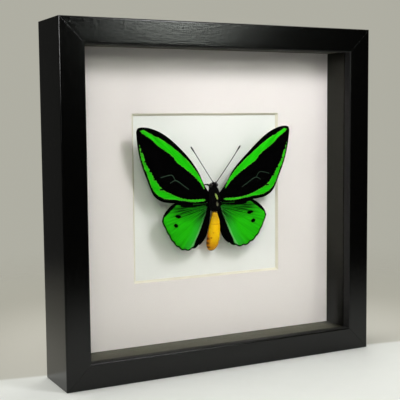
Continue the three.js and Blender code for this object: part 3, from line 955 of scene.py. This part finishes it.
LEG_STOPS = [(0, 0.8), (0.34, 0.72), (0.42, 0.46), (0.46, 0.5), (0.7, 0.32), (0.74, 0.2), (1, 0.16)]
LEGS = {
    "front_left": [
        (-0.9, 5.8, 129.2), (-1.9, 5.4, 132.8), (-7, 3.2, 133.7), (-8, 5.4, 130.5), (-6.9, 8, 126.6)
    ],
    "front_right": [(1.6, 5.9, 128.6), (4.4, 6.8, 131.4), (5, 8.4, 127.4), (3.4, 9.8, 124.6)],
    "middle_left": [(-1.9, 6.6, 123), (-7.6, 8.2, 122.6), (-9.8, 9.4, 116.6), (-9.2, 10.6, 110.6)],
    "middle_right": [(1.9, 6.6, 123), (7.6, 8.2, 122.6), (9.8, 9.4, 116.6), (9.2, 10.6, 110.6)],
    "hind_left": [(-1.8, 6.4, 118.6), (-6, 7.8, 117.6), (-7.2, 9.6, 109.5), (-5.4, 10.9, 102)],
    "hind_right": [(1.8, 6.4, 118.6), (6, 7.8, 117.6), (7.2, 9.6, 109.5), (5.4, 10.9, 102)],
}
for leg_name, leg_path in LEGS.items():
    leg = round_limb("leg_jointed_" + leg_name, leg_path, LEG_STOPS, 60)
    hair_growth(leg, 4, 0.4, 0.03, (0, 0, -0.6), 41)
    finish_piece(leg, chitin, "body_black", "leg_" + leg_name)

# ---- Wings ---------------------------------------------------------------------------
# Four stiff membranes covered in scales like fine roof tiles, green on velvet black, drawn
# over a fan of hollow veins. They spread from the thorax and are set to dry in this pose.

# Edge points as (out from the midline, y, z), in millimetres from the root to the tip.
FOREWING_LEADING = [
    (3.6, 0.9, 127.2),
    (5.2, 0.6, 129),
    (9.2, -0.2, 134.5),
    (14.8, -1.6, 144.5),
    (26.2, -4.1, 157.4),
    (41.4, -4.5, 170.4),
    (50.6, -4.2, 175.1),
    (58.3, -3.5, 176.8),
    (62.7, -2.9, 176),
    (63.9, -2.6, 173.4),
]
FOREWING_TRAILING = [
    (3.6, 0.9, 121.4),
    (5.2, 0.6, 121),
    (19, 0.4, 120.9),
    (32, 0, 121.5),
    (43.5, -0.4, 123.3),
    (49.8, -0.8, 127.6),
    (55.4, -1.4, 139.3),
    (60, -1.8, 151.2),
    (62.6, -2.2, 162.2),
    (63.9, -2.6, 173.4),
]
HINDWING_LEADING = [
    (3.4, 1.6, 119),
    (5, 1.5, 120),
    (10, 1.9, 122.4),
    (20, 1.8, 123.3),
    (28.2, 1.4, 122.9),
    (35.6, 0.5, 120),
    (42.2, -0.5, 113.8),
    (44.1, -0.9, 108.8),
]
HINDWING_TRAILING = [
    (3.4, 1.6, 115.2),
    (3, 2, 113),
    (3.3, 2.3, 108),
    (4.4, 2.2, 102),
    (6.9, 2, 95),
    (11.6, 1.9, 89.7),
    (18.6, 1.6, 86.3),
    (24.5, 1, 85.8),
    (30.5, -0.2, 88.4),
    (35.5, -1.1, 92.9),
    (40.2, -1.4, 100.4),
    (44.1, -0.9, 108.8),
]
WING_CAMBER = 0.9
MEMBRANE = 0.12
WING_ROOT = (3, 121)
PLEATS = 26
PLEAT_DEPTH = 0.07
HINDWING_SCALLOPS = 7
SCALLOPS_FROM = 0.4
SCALLOP_DEPTH = 0.95
GRID_ALONG = 150
GRID_ACROSS = 84
EDGE_STEPS = 600
VEIN_SUNK = 0.03
VEIN_STOPS = [(0, 0.16), (0.7, 0.09), (1, 0.05)]

# Veins as (out, z), from the root outwards.
FOREWING_VEINS = [
    [(5, 128), (11, 136), (19, 147), (30, 158.5), (42, 168.5), (50, 172.6)],
    [(5, 127), (12, 135), (20, 143.5), (31, 153), (40, 159), (52, 168), (61, 174)],
    [(31, 153), (44, 164.5), (55, 172.4)],
    [(5, 124.5), (14, 128.5), (24, 132.5), (34, 137.6), (38.5, 142), (40, 150), (40, 159)],
    [(40, 154), (50, 160.5), (61.8, 166)],
    [(40, 150), (50, 155), (61, 159.8)],
    [(39, 145), (48, 148), (59.2, 152.8)],
    [(38.5, 142), (47, 143.4), (56.9, 146.2)],
    [(34, 137.6), (44, 138.2), (54.6, 140)],
    [(26, 133.3), (38, 131.5), (50.2, 131)],
    [(5, 122.6), (16, 122.4), (30, 122.9), (43, 124.8)],
]
HINDWING_VEINS = [
    [(5, 119), (14, 121.4), (26, 121), (36, 117)],
    [(5, 118.4), (14, 117.6), (24, 115.6), (34, 112.6), (43, 108.9)],
    [(5, 117.6), (12, 113.4), (20, 108.4), (23.6, 104.6), (24, 115.6)],
    [(24, 110), (32, 108), (41.4, 104.2)],
    [(23.6, 104.6), (31, 101.4), (39, 100)],
    [(20, 103.4), (28, 97), (34.6, 93)],
    [(12, 113.4), (16, 106), (20, 103.4), (23.6, 104.6)],
    [(16, 106), (22, 96), (29.4, 88)],
    [(5, 116.6), (10, 108), (16, 98), (23.4, 86.4)],
]


def mesh_points(piece):
    """Every point of a piece, in metres."""
    flat = np.empty(3 * len(piece.data.vertices))
    piece.data.vertices.foreach_get("co", flat)
    return flat.reshape(-1, 3)


def wing_sheet(name, leading, trailing, sign, scallops=0):
    """A fine grid laid between the two edges and pleated along its rays."""
    deselect_all()
    bpy.ops.mesh.primitive_grid_add(
        x_subdivisions=GRID_ALONG, y_subdivisions=GRID_ACROSS, size=1
    )
    wing = settle(bpy.context.object, name)
    along, across, _ = (mesh_points(wing) + 0.5).T
    shares = np.linspace(0, 1, EDGE_STEPS)
    edges = [
        np.stack([np.interp(along, shares, path[:, i]) for i in range(3)], 1)
        for path in (smooth_path(leading, EDGE_STEPS), smooth_path(trailing, EDGE_STEPS))
    ]
    width = np.maximum(np.linalg.norm(edges[1] - edges[0], axis=1), 1e-6)
    past = np.clip((along - SCALLOPS_FROM) / (1 - SCALLOPS_FROM), 0, 1)
    drawn_in = SCALLOP_DEPTH * (1 - np.abs(np.sin(np.pi * scallops * past))) * (past > 0)
    reach = across * (1 - (drawn_in / width if scallops else 0))
    points = edges[0] + (edges[1] - edges[0]) * reach[:, None]
    bulge = np.sin(np.pi * across) * np.sin(np.pi * along)
    ray = np.arctan2(points[:, 2] - WING_ROOT[1], points[:, 0] - WING_ROOT[0])
    points[:, 1] -= WING_CAMBER * bulge + PLEAT_DEPTH * bulge * np.cos(PLEATS * ray)
    points[:, 0] *= sign
    wing.data.vertices.foreach_set("co", (points * MM).ravel())
    wing.data.update()
    open_mesh(wing, picked="SELECT")
    bpy.ops.mesh.remove_doubles(threshold=0.01 * MM)
    close_mesh()
    if sum(face.normal.y * face.area for face in wing.data.polygons) > 0:
        open_mesh(wing, picked="SELECT")
        bpy.ops.mesh.flip_normals()
        close_mesh()
    return wing


def lookup_of(flat_points):
    """A lookup of (x, z) points, to find the one nearest to any place."""
    lookup = KDTree(len(flat_points))
    for i, (x, z) in enumerate(flat_points):
        lookup.insert((x, 0, z), i)
    lookup.balance()
    return lookup


def vein_tubes(wing, veins, sign):
    """Thin tubes lying in the membrane along each vein, finest at the margin."""
    places = mesh_points(wing)
    lookup = lookup_of(places[:, [0, 2]])
    tubes = []
    for vein in veins:
        path = []
        for x, z in smooth_path([(sign * out, z) for out, z in vein], 12):
            nearest = lookup.find((x * MM, 0, z * MM))[1]
            path.append((x, places[nearest, 1] / MM + VEIN_SUNK, z))
        tubes.append(round_limb("vein", path, VEIN_STOPS, 60))
    return tubes


def from_segments(start, step, points):
    """Each point's offset from every segment's start, and how far the nearest segment is."""
    offset = points[:, None, :] - start
    share = np.clip((offset * step).sum(2) / (step**2).sum(1), 0, 1)
    return offset, np.linalg.norm(offset - share[:, :, None] * step, axis=2).min(axis=1)


def inside_by(outline, points):
    """How far inside a closed outline each point lies, in millimetres, negative outside."""
    start = smooth_path([*outline, outline[0]], 160)[:-1]
    step = np.roll(start, -1, axis=0) - start
    offset, distance = from_segments(start, step, points)
    end = start + step
    crosses = (start[:, 1] > points[:, None, 1]) != (end[:, 1] > points[:, None, 1])
    rise = np.where(np.abs(step[:, 1]) < 1e-9, 1e-9, step[:, 1])
    reach = start[:, 0] + offset[:, :, 1] / rise * step[:, 0]
    inside = (crosses & (points[:, None, 0] < reach)).sum(axis=1) % 2 == 1
    return np.where(inside, distance, -distance)


def away_from(line, points):
    """How far each point lies from an open line, in millimetres."""
    path = smooth_path(line, 60)
    return from_segments(path[:-1], np.diff(path, axis=0), points)[1]


def keep_on_points(piece, name, values):
    layer = piece.data.attributes.new(name, "FLOAT", "POINT")
    layer.data.foreach_set("value", np.asarray(values, np.float32))


def wing_points(piece):
    """Every point of a wing as (out from the midline, z), in millimetres."""
    points = mesh_points(piece)
    return np.stack([np.abs(points[:, 0]), points[:, 2]], 1) / MM


def veined(wing, veins, sign, root):
    """Gives a membrane its thickness, its veins and its fan of rays, and returns its points."""
    tubes = vein_tubes(wing, veins, sign)
    apply_modifier(wing, "SOLIDIFY", thickness=MEMBRANE * MM, offset=-1)
    joined(wing, *tubes)
    bpy.ops.object.shade_smooth()
    points = wing_points(wing)
    offset = points - np.array(root)
    keep_on_points(wing, "from_root", np.linalg.norm(offset, axis=1))
    keep_on_points(wing, "round_root", 30 * np.arctan2(offset[:, 1], offset[:, 0]))
    return points


def attribute(tree, name):
    return add_node(tree, "ShaderNodeAttribute", attribute_name=name).outputs["Fac"]


def wing_scale_group():
    """Rows of tiny scales that fan out from the root: their relief, tone and ragged edges."""
    group, given, out = blank_group(
        "wing scales",
        [("From root", "NodeSocketFloat", 0), ("Round root", "NodeSocketFloat", 0)],
        [
            ("Relief", "NodeSocketFloat"),
            ("Streaks", "NodeSocketFloat"),
            ("Ragged", "NodeSocketFloat"),
        ],
    )
    fan = add_node(
        group,
        "ShaderNodeCombineXYZ",
        {"X": given.outputs["From root"], "Y": given.outputs["Round root"]},
    ).outputs[0]
    tiles = add_node(
        group, "ShaderNodeTexVoronoi", {"Vector": fan, "Scale": 5.5, "Randomness": 0.7}
    )
    drawn_out = vector_maths(group, "MULTIPLY", fan, (0.05, 1, 1))
    group.links.new(tiles.outputs["Distance"], out.inputs["Relief"])
    group.links.new(noise(group, drawn_out, 0.9, 4, 0.6), out.inputs["Streaks"])
    group.links.new(noise(group, fan, 0.8, 4), out.inputs["Ragged"])
    return group


scale_rows = wing_scale_group()


def scales_of(tree):
    rays = {"From root": attribute(tree, "from_root"), "Round root": attribute(tree, "round_root")}
    return add_node(tree, "ShaderNodeGroup", rays, node_tree=scale_rows)


def with_ragged_edge(tree, distance, scales, depth):
    """A distance in millimetres with its edge broken up by single scales."""
    centred = maths(tree, "SUBTRACT", scales.outputs["Ragged"], 0.5)
    return maths(tree, "ADD", distance, maths(tree, "MULTIPLY", centred, depth))


def finish_scales(tree, shader, scales, base, green):
    """Links the colour, and makes the black a dull velvet beside the silkier green."""
    link_finish(tree, shader, base, (green, 0.9, 0.55))
    shader.inputs["Specular IOR Level"].default_value = 0.015
    link_bump(tree, shader, scales.outputs["Relief"], 0.3, 0.04 * MM)


def green_scales(tree, scales, inside, core, edge):
    """Green that is deepest along the middle of a band and greyer at its rim."""
    tone = blended(tree, soft_step(tree, inside, 0.1, 1.1), edge, core)
    dark = tuple(0.4 * part for part in core[:3]) + (1,)
    streaked = spread_value(tree, soft_step(tree, scales.outputs["Streaks"], 0.35, 0.75), 0, 0.65)
    return blended(tree, streaked, tone, dark)


VELVET = colour(1, 1, 1)

# ---- Forewings -----------------------------------------------------------------------
# Long triangles, black but for a green band behind the leading edge and a narrower one round
# the outer and hind margins, cut across by the vein ends. Green shows along a few veins too.

COSTAL_BAND = [
    (61.8, 174.4), (58.8, 175), (56, 173.8), (51.2, 171.2), (46.4, 169), (41.4, 166),
    (36.4, 162.6), (31.3, 158.8), (28.2, 156), (22.9, 151.5), (18.4, 147), (15, 143),
    (11.6, 138.5), (9.5, 134.5), (8.5, 131), (8.7, 130.2), (10.3, 132), (12.6, 135.3),
    (16, 138.5), (20.4, 142.3), (25.8, 146.2), (30, 149), (33.7, 151.8), (34.9, 153.5),
    (37.3, 156.2), (41.3, 158.8), (45.3, 161.5), (49.3, 164.4), (51.7, 166.9), (55.1, 169.3),
    (58.9, 171.8),
]
MARGIN_BAND = [
    (61.6, 165.4), (61.3, 160.5), (60.4, 156), (59.1, 151.5), (57.4, 147), (55.7, 143.5),
    (54.9, 141), (53.9, 138.8), (52.4, 134.5), (50.3, 131), (47.9, 128.5), (45.3, 126.8),
    (42.7, 125.4), (39.2, 124.6), (34, 124.1), (28.9, 123.3), (23.9, 122.5), (18.8, 121.6),
    (13.7, 121.4), (10, 121.8), (7, 122.7), (9.8, 123.6), (13.8, 123.6), (18.9, 123.7),
    (24.1, 124.3), (29.2, 125.6), (32.4, 126.8), (36.5, 128.8), (40.6, 130.5), (43.8, 132.8),
    (46.8, 136), (48.3, 138.5), (50.6, 141), (52.2, 144.5), (54.2, 147.5), (56.9, 152.3),
    (57.6, 155), (58.8, 158.4), (60.2, 161),
]
VEIN_GAPS = [
    [(58.4, 164.2), (61.6, 165.1)],
    [(56.4, 158.2), (60.2, 159.5)],
    [(53.2, 151.3), (57.6, 152.6)],
    [(50.2, 144.6), (53.6, 145.6)],
    [(47.2, 138.8), (50.4, 139.5)],
    [(43.2, 131.9), (45.6, 132.2)],
]
VEIN_GAP_HALF = 0.28
FOREWING_FAN = (2, 124)
GREYED_VEINS = [
    [(22.5, 131.4), (25.8, 133.6), (33.8, 138.3), (37.8, 136.6)],
    [(33.8, 138.3), (36.6, 142.2), (40.6, 142), (45.4, 140.8)],
]


def forewing_scales():
    material, tree, shader, _ = new_material("forewing scales")
    scales = scales_of(tree)
    inside = with_ragged_edge(tree, attribute(tree, "green"), scales, 1.8)
    green = soft_step(tree, inside, 0.02, 0.3)
    lit = green_scales(tree, scales, inside, colour(28, 198, 10), colour(78, 172, 44))
    veins = attribute(tree, "grey_vein")
    greyed = spread_value(tree, soft_step(tree, veins, 0.45, 0.08), 0, 0.8)
    dark = blended(tree, greyed, VELVET, colour(60, 80, 66))
    finish_scales(tree, shader, scales, blended(tree, green, dark, lit), green)
    return material


forewing_finish = forewing_scales()
for wing_side, sign in (("left", -1), ("right", 1)):
    forewing = wing_sheet(
        "forewing_scaled_" + wing_side, FOREWING_LEADING, FOREWING_TRAILING, sign
    )
    places = veined(forewing, FOREWING_VEINS, sign, FOREWING_FAN)
    band = np.maximum(inside_by(COSTAL_BAND, places), inside_by(MARGIN_BAND, places))
    for gap in VEIN_GAPS:
        band = np.minimum(band, away_from(gap, places) - VEIN_GAP_HALF)
    keep_on_points(forewing, "green", band)
    vein_distance = np.min([away_from(vein, places) for vein in GREYED_VEINS], axis=0)
    keep_on_points(forewing, "grey_vein", vein_distance)
    finish_piece(forewing, forewing_finish, "wing_scales", "forewing_" + wing_side)

# ---- Hindwings -----------------------------------------------------------------------
# Rounded fans with a scalloped hem: green, with painted shade under the forewing's edge and a darker
# root that is partly painted shade, with two black spots, a thin black margin and a broad black band
# beside the body.

HINDWING_GREEN = [
    (5.6, 117.4), (7, 112), (9, 107.6), (12.2, 100), (15.8, 92.5), (19.2, 86), (24.5, 84),
    (32, 86), (38, 93), (42, 100), (46, 109), (42.5, 111.6), (39.4, 113.8), (34, 118),
    (31, 120.2), (28.6, 119.8), (26.4, 118.3), (20, 117.9), (12, 118.2), (8, 118.8),
]
UPPER_STREAK = [(6.5, 119.4), (12, 119.5), (17.5, 119.4), (17.5, 120.1), (12, 120.3), (6.5, 120.2)]
INNER_EDGE = [(6, 116.4), (7.6, 111.6), (9.6, 107.2), (12.8, 99.8), (16.4, 92.4), (19.6, 87.6)]
SPOTS = [((30.3, 111.7), (2.5, 1.2), 10), ((32.6, 105.3), (1.9, 1.3), 25)]
MARGIN_WIDTH = 1.0
HINDWING_FAN = (3, 118)

# Where the painted shade starts and where it is full: up to the leading edge, in from the tip, and
# towards the root. Under the leading edge it stands for the forewing lying over it; at the root it
# is partly the wing's own dark colour.
EDGE_SHADE_HEIGHTS = (107, 115)
EDGE_SHADE_OUT = (41, 27)
SHADE_ROOT = (4, 117)
ROOT_SHADE_REACH = (20, 6)
DEEPEST_SHADE = 0.85


def ramp(values, start, full):
    """0 at start, 1 at full, even between them and held beyond."""
    return np.clip((values - start) / (full - start), 0, 1)


def from_spot(centre, radii, tilt, points):
    """How far each point lies outside a tilted oval, in millimetres."""
    turn = math.radians(tilt)
    offset = points - np.array(centre)
    long = offset[:, 0] * math.cos(turn) + offset[:, 1] * math.sin(turn)
    short = offset[:, 1] * math.cos(turn) - offset[:, 0] * math.sin(turn)
    return (np.hypot(long / radii[0], short / radii[1]) - 1) * min(radii)


def hindwing_scales():
    material, tree, shader, _ = new_material("hindwing scales")
    scales = scales_of(tree)
    inside = with_ragged_edge(tree, attribute(tree, "green"), scales, 0.9)
    green = soft_step(tree, inside, -0.12, 0.16)
    lit = green_scales(tree, scales, inside, colour(32, 178, 12), colour(40, 156, 18))
    inner = attribute(tree, "inner_edge")
    blue = spread_value(tree, soft_step(tree, inner, 8, 1.5), 0, 0.5)
    lit = blended(tree, blue, lit, colour(46, 168, 52))
    pale_line = spread_value(tree, soft_step(tree, inner, 1.1, 0.4), 0, 0.65)
    lit = blended(tree, pale_line, lit, colour(112, 176, 112))
    # Painted shade from the shade attribute, broken into dark rays by the streaks.
    dark_rays = maths(tree, "ADD", 0.5, soft_step(tree, scales.outputs["Streaks"], 0.32, 0.66))
    shade = maths(tree, "MULTIPLY", attribute(tree, "shade"), dark_rays)
    shaded = blended(tree, shade, lit, colour(6, 40, 4))
    finish_scales(tree, shader, scales, blended(tree, green, VELVET, shaded), green)
    return material


hindwing_finish = hindwing_scales()
for wing_side, sign in (("left", -1), ("right", 1)):
    hindwing = wing_sheet(
        "hindwing_scaled_" + wing_side,
        HINDWING_LEADING,
        HINDWING_TRAILING,
        sign,
        HINDWING_SCALLOPS,
    )
    open_mesh(hindwing, "EDGE")
    bpy.ops.mesh.select_non_manifold()
    close_mesh()
    rim = [v.index for v in hindwing.data.vertices if v.select]
    rim_lookup = lookup_of(wing_points(hindwing)[rim])
    places = veined(hindwing, HINDWING_VEINS, sign, HINDWING_FAN)
    from_rim = np.array([rim_lookup.find((out, 0, z))[2] for out, z in places])
    field = np.minimum(inside_by(HINDWING_GREEN, places), from_rim - MARGIN_WIDTH)
    field = np.maximum(field, inside_by(UPPER_STREAK, places))
    for spot_centre, spot_radii, spot_tilt in SPOTS:
        field = np.minimum(field, from_spot(spot_centre, spot_radii, spot_tilt, places))
    keep_on_points(hindwing, "green", field)
    keep_on_points(hindwing, "inner_edge", away_from(INNER_EDGE, places))
    out, z = places[:, 0], places[:, 1]
    painted_shade_under_forewing = ramp(z, *EDGE_SHADE_HEIGHTS) * ramp(out, *EDGE_SHADE_OUT)
    at_root = ramp(np.hypot(out - SHADE_ROOT[0], z - SHADE_ROOT[1]), *ROOT_SHADE_REACH)
    keep_on_points(hindwing, "shade", DEEPEST_SHADE * np.maximum(painted_shade_under_forewing, at_root))
    finish_piece(hindwing, hindwing_finish, "wing_scales", "hindwing_" + wing_side)

# ---- Studio --------------------------------------------------------------------------
# A white table top in a dim room. A soft lamp hangs above the front of the frame, a wider one
# further off fills its shadows from the left, and four more light the table and the rails.

SEAM_NORMAL = (0.162, 0.987, 0)
SEAM_DISTANCE = 4.5 * MM
TABLE_WIDTH = 6

# Where each change over the table top starts and where it is full, in metres.
FAR_SHADE_REACH = (0.15, 0.32)
LEFT_SHADE_REACH = (-0.04, -0.26)
BACK_FADE = (0.15, 0.68)
FRONT_FADE = (-0.02, -0.48)


def table_top():
    """White near the frame, greyer past a seam, with painted shade darkening it to the left and
    further off, fading out into the room.
    """
    material, tree, shader, place = new_material("white table top")
    _, clouds = grain_of(tree, place, (1, 1, 1), 60)
    tone = blended(tree, clouds, colour(239, 242, 240), colour(244, 247, 245))
    past_seam = vector_maths(tree, "DOT_PRODUCT", place, SEAM_NORMAL)
    beyond = soft_step(tree, past_seam, SEAM_DISTANCE - 2 * MM, SEAM_DISTANCE + 5 * MM)
    away = vector_maths(tree, "LENGTH", place)
    # Painted shade: past the seam the table darkens further off.
    far_shade_share = soft_step(tree, away, *FAR_SHADE_REACH)
    sheet_tone_and_far_shade = blended(tree, far_shade_share, colour(210, 209, 201), colour(184, 183, 174))
    tone = blended(tree, beyond, tone, sheet_tone_and_far_shade)
    spot = add_node(tree, "ShaderNodeSeparateXYZ", {0: place})
    # Painted shade: the table darkens towards the left.
    left_shade_scale = spread_value(tree, soft_step(tree, spot.outputs["X"], *LEFT_SHADE_REACH), 1, 0.72)
    tone = add_node(
        tree, "ShaderNodeVectorMath", {0: tone, "Scale": left_shade_scale}, operation="SCALE"
    ).outputs[0]
    tree.links.new(tone, shader.inputs["Base Color"])
    behind = maths(tree, "SUBTRACT", 1, soft_step(tree, away, *BACK_FADE))
    in_front = maths(tree, "SUBTRACT", 1, soft_step(tree, spot.outputs["Y"], *FRONT_FADE))
    tree.links.new(maths(tree, "MULTIPLY", behind, in_front), shader.inputs["Alpha"])
    shader.inputs["Roughness"].default_value = 0.8
    return material


deselect_all()
bpy.ops.mesh.primitive_plane_add(size=TABLE_WIDTH, location=(0, 0, 0))
floor = settle(bpy.context.object, "table_top")
paint(floor, table_top())

world = bpy.data.worlds.new("room")
bpy.context.scene.world = world
world.use_nodes = True
room = world.node_tree
toward = room.nodes.new("ShaderNodeTexCoord").outputs["Generated"]
parts = add_node(room, "ShaderNodeSeparateXYZ", {0: toward})
overhead = soft_step(room, parts.outputs["Z"], 0.35, 0.95)
behind = soft_step(room, parts.outputs["Y"], 0.2, 0.8)
to_right = soft_step(room, parts.outputs["X"], -0.15, 0.15)
far_wall = blended(room, to_right, (0.05, 0.05, 0.047, 1), (0.43, 0.425, 0.365, 1))
walls = blended(room, behind, (0.012, 0.012, 0.011, 1), far_wall)
walls = blended(room, overhead, walls, (0.36, 0.34, 0.25, 1))
room.links.new(walls, room.nodes["Background"].inputs["Color"])


def soft_lamp(name, place, target, width, height, watts, tint=(1, 1, 1)):
    data = bpy.data.lights.new(name, "AREA")
    data.shape = "RECTANGLE"
    data.size = width
    data.size_y = height
    data.energy = watts
    data.color = tint
    lamp = bpy.data.objects.new(name, data)
    lamp.location = place
    aim = Vector(target) - Vector(place)
    lamp.rotation_euler = aim.to_track_quat("-Z", "Y").to_euler()
    bpy.context.scene.collection.objects.link(lamp)


green_tint = (0.93, 1, 0.91)
soft_lamp("main_lamp", (0.068, -0.25, 0.358), (-0.02, 0, 0.08), 0.08, 0.08, 0.475, (1, 0.99, 1.04))
soft_lamp("fill_lamp", (-0.36, -0.65, 0.47), (0, 0, 0.06), 0.3, 0.3, 0.96, (1, 1, 0.9))
soft_lamp("overhead_lamp", (-0.3, 0.2, 1.2), (-0.03, 0.03, 0), 1.0, 1.0, 8.4)
soft_lamp("back_lamp", (0.5, 0.6, 1.0), (0.3, 0.25, 0), 0.6, 0.6, 2)
soft_lamp("rim_lamp", (0.4, -0.91, 0.42), (-0.03, 0, 0.24), 0.14, 0.08, 0.85, green_tint)
soft_lamp("edge_lamp", (-1.2, -0.35, 0.34), (-0.12, 0, 0.24), 0.5, 0.12, 3)

camera_data = bpy.data.cameras.new("camera")
camera_data.sensor_width = 36
camera_data.lens = 79.72
camera = bpy.data.objects.new("camera", camera_data)
yaw, pitch, roll = math.radians(27.33), math.radians(5.14), -0.0094
camera.matrix_world = (
    Matrix.Translation((-0.3106, -0.5772, 0.1814))
    @ Matrix.Rotation(-yaw, 4, "Z")
    @ Matrix.Rotation(QUARTER - pitch, 4, "X")
    @ Matrix.Rotation(roll, 4, "Z")
)
bpy.context.scene.collection.objects.link(camera)
bpy.context.scene.camera = camera
bpy.context.scene.view_settings.view_transform = "Standard"
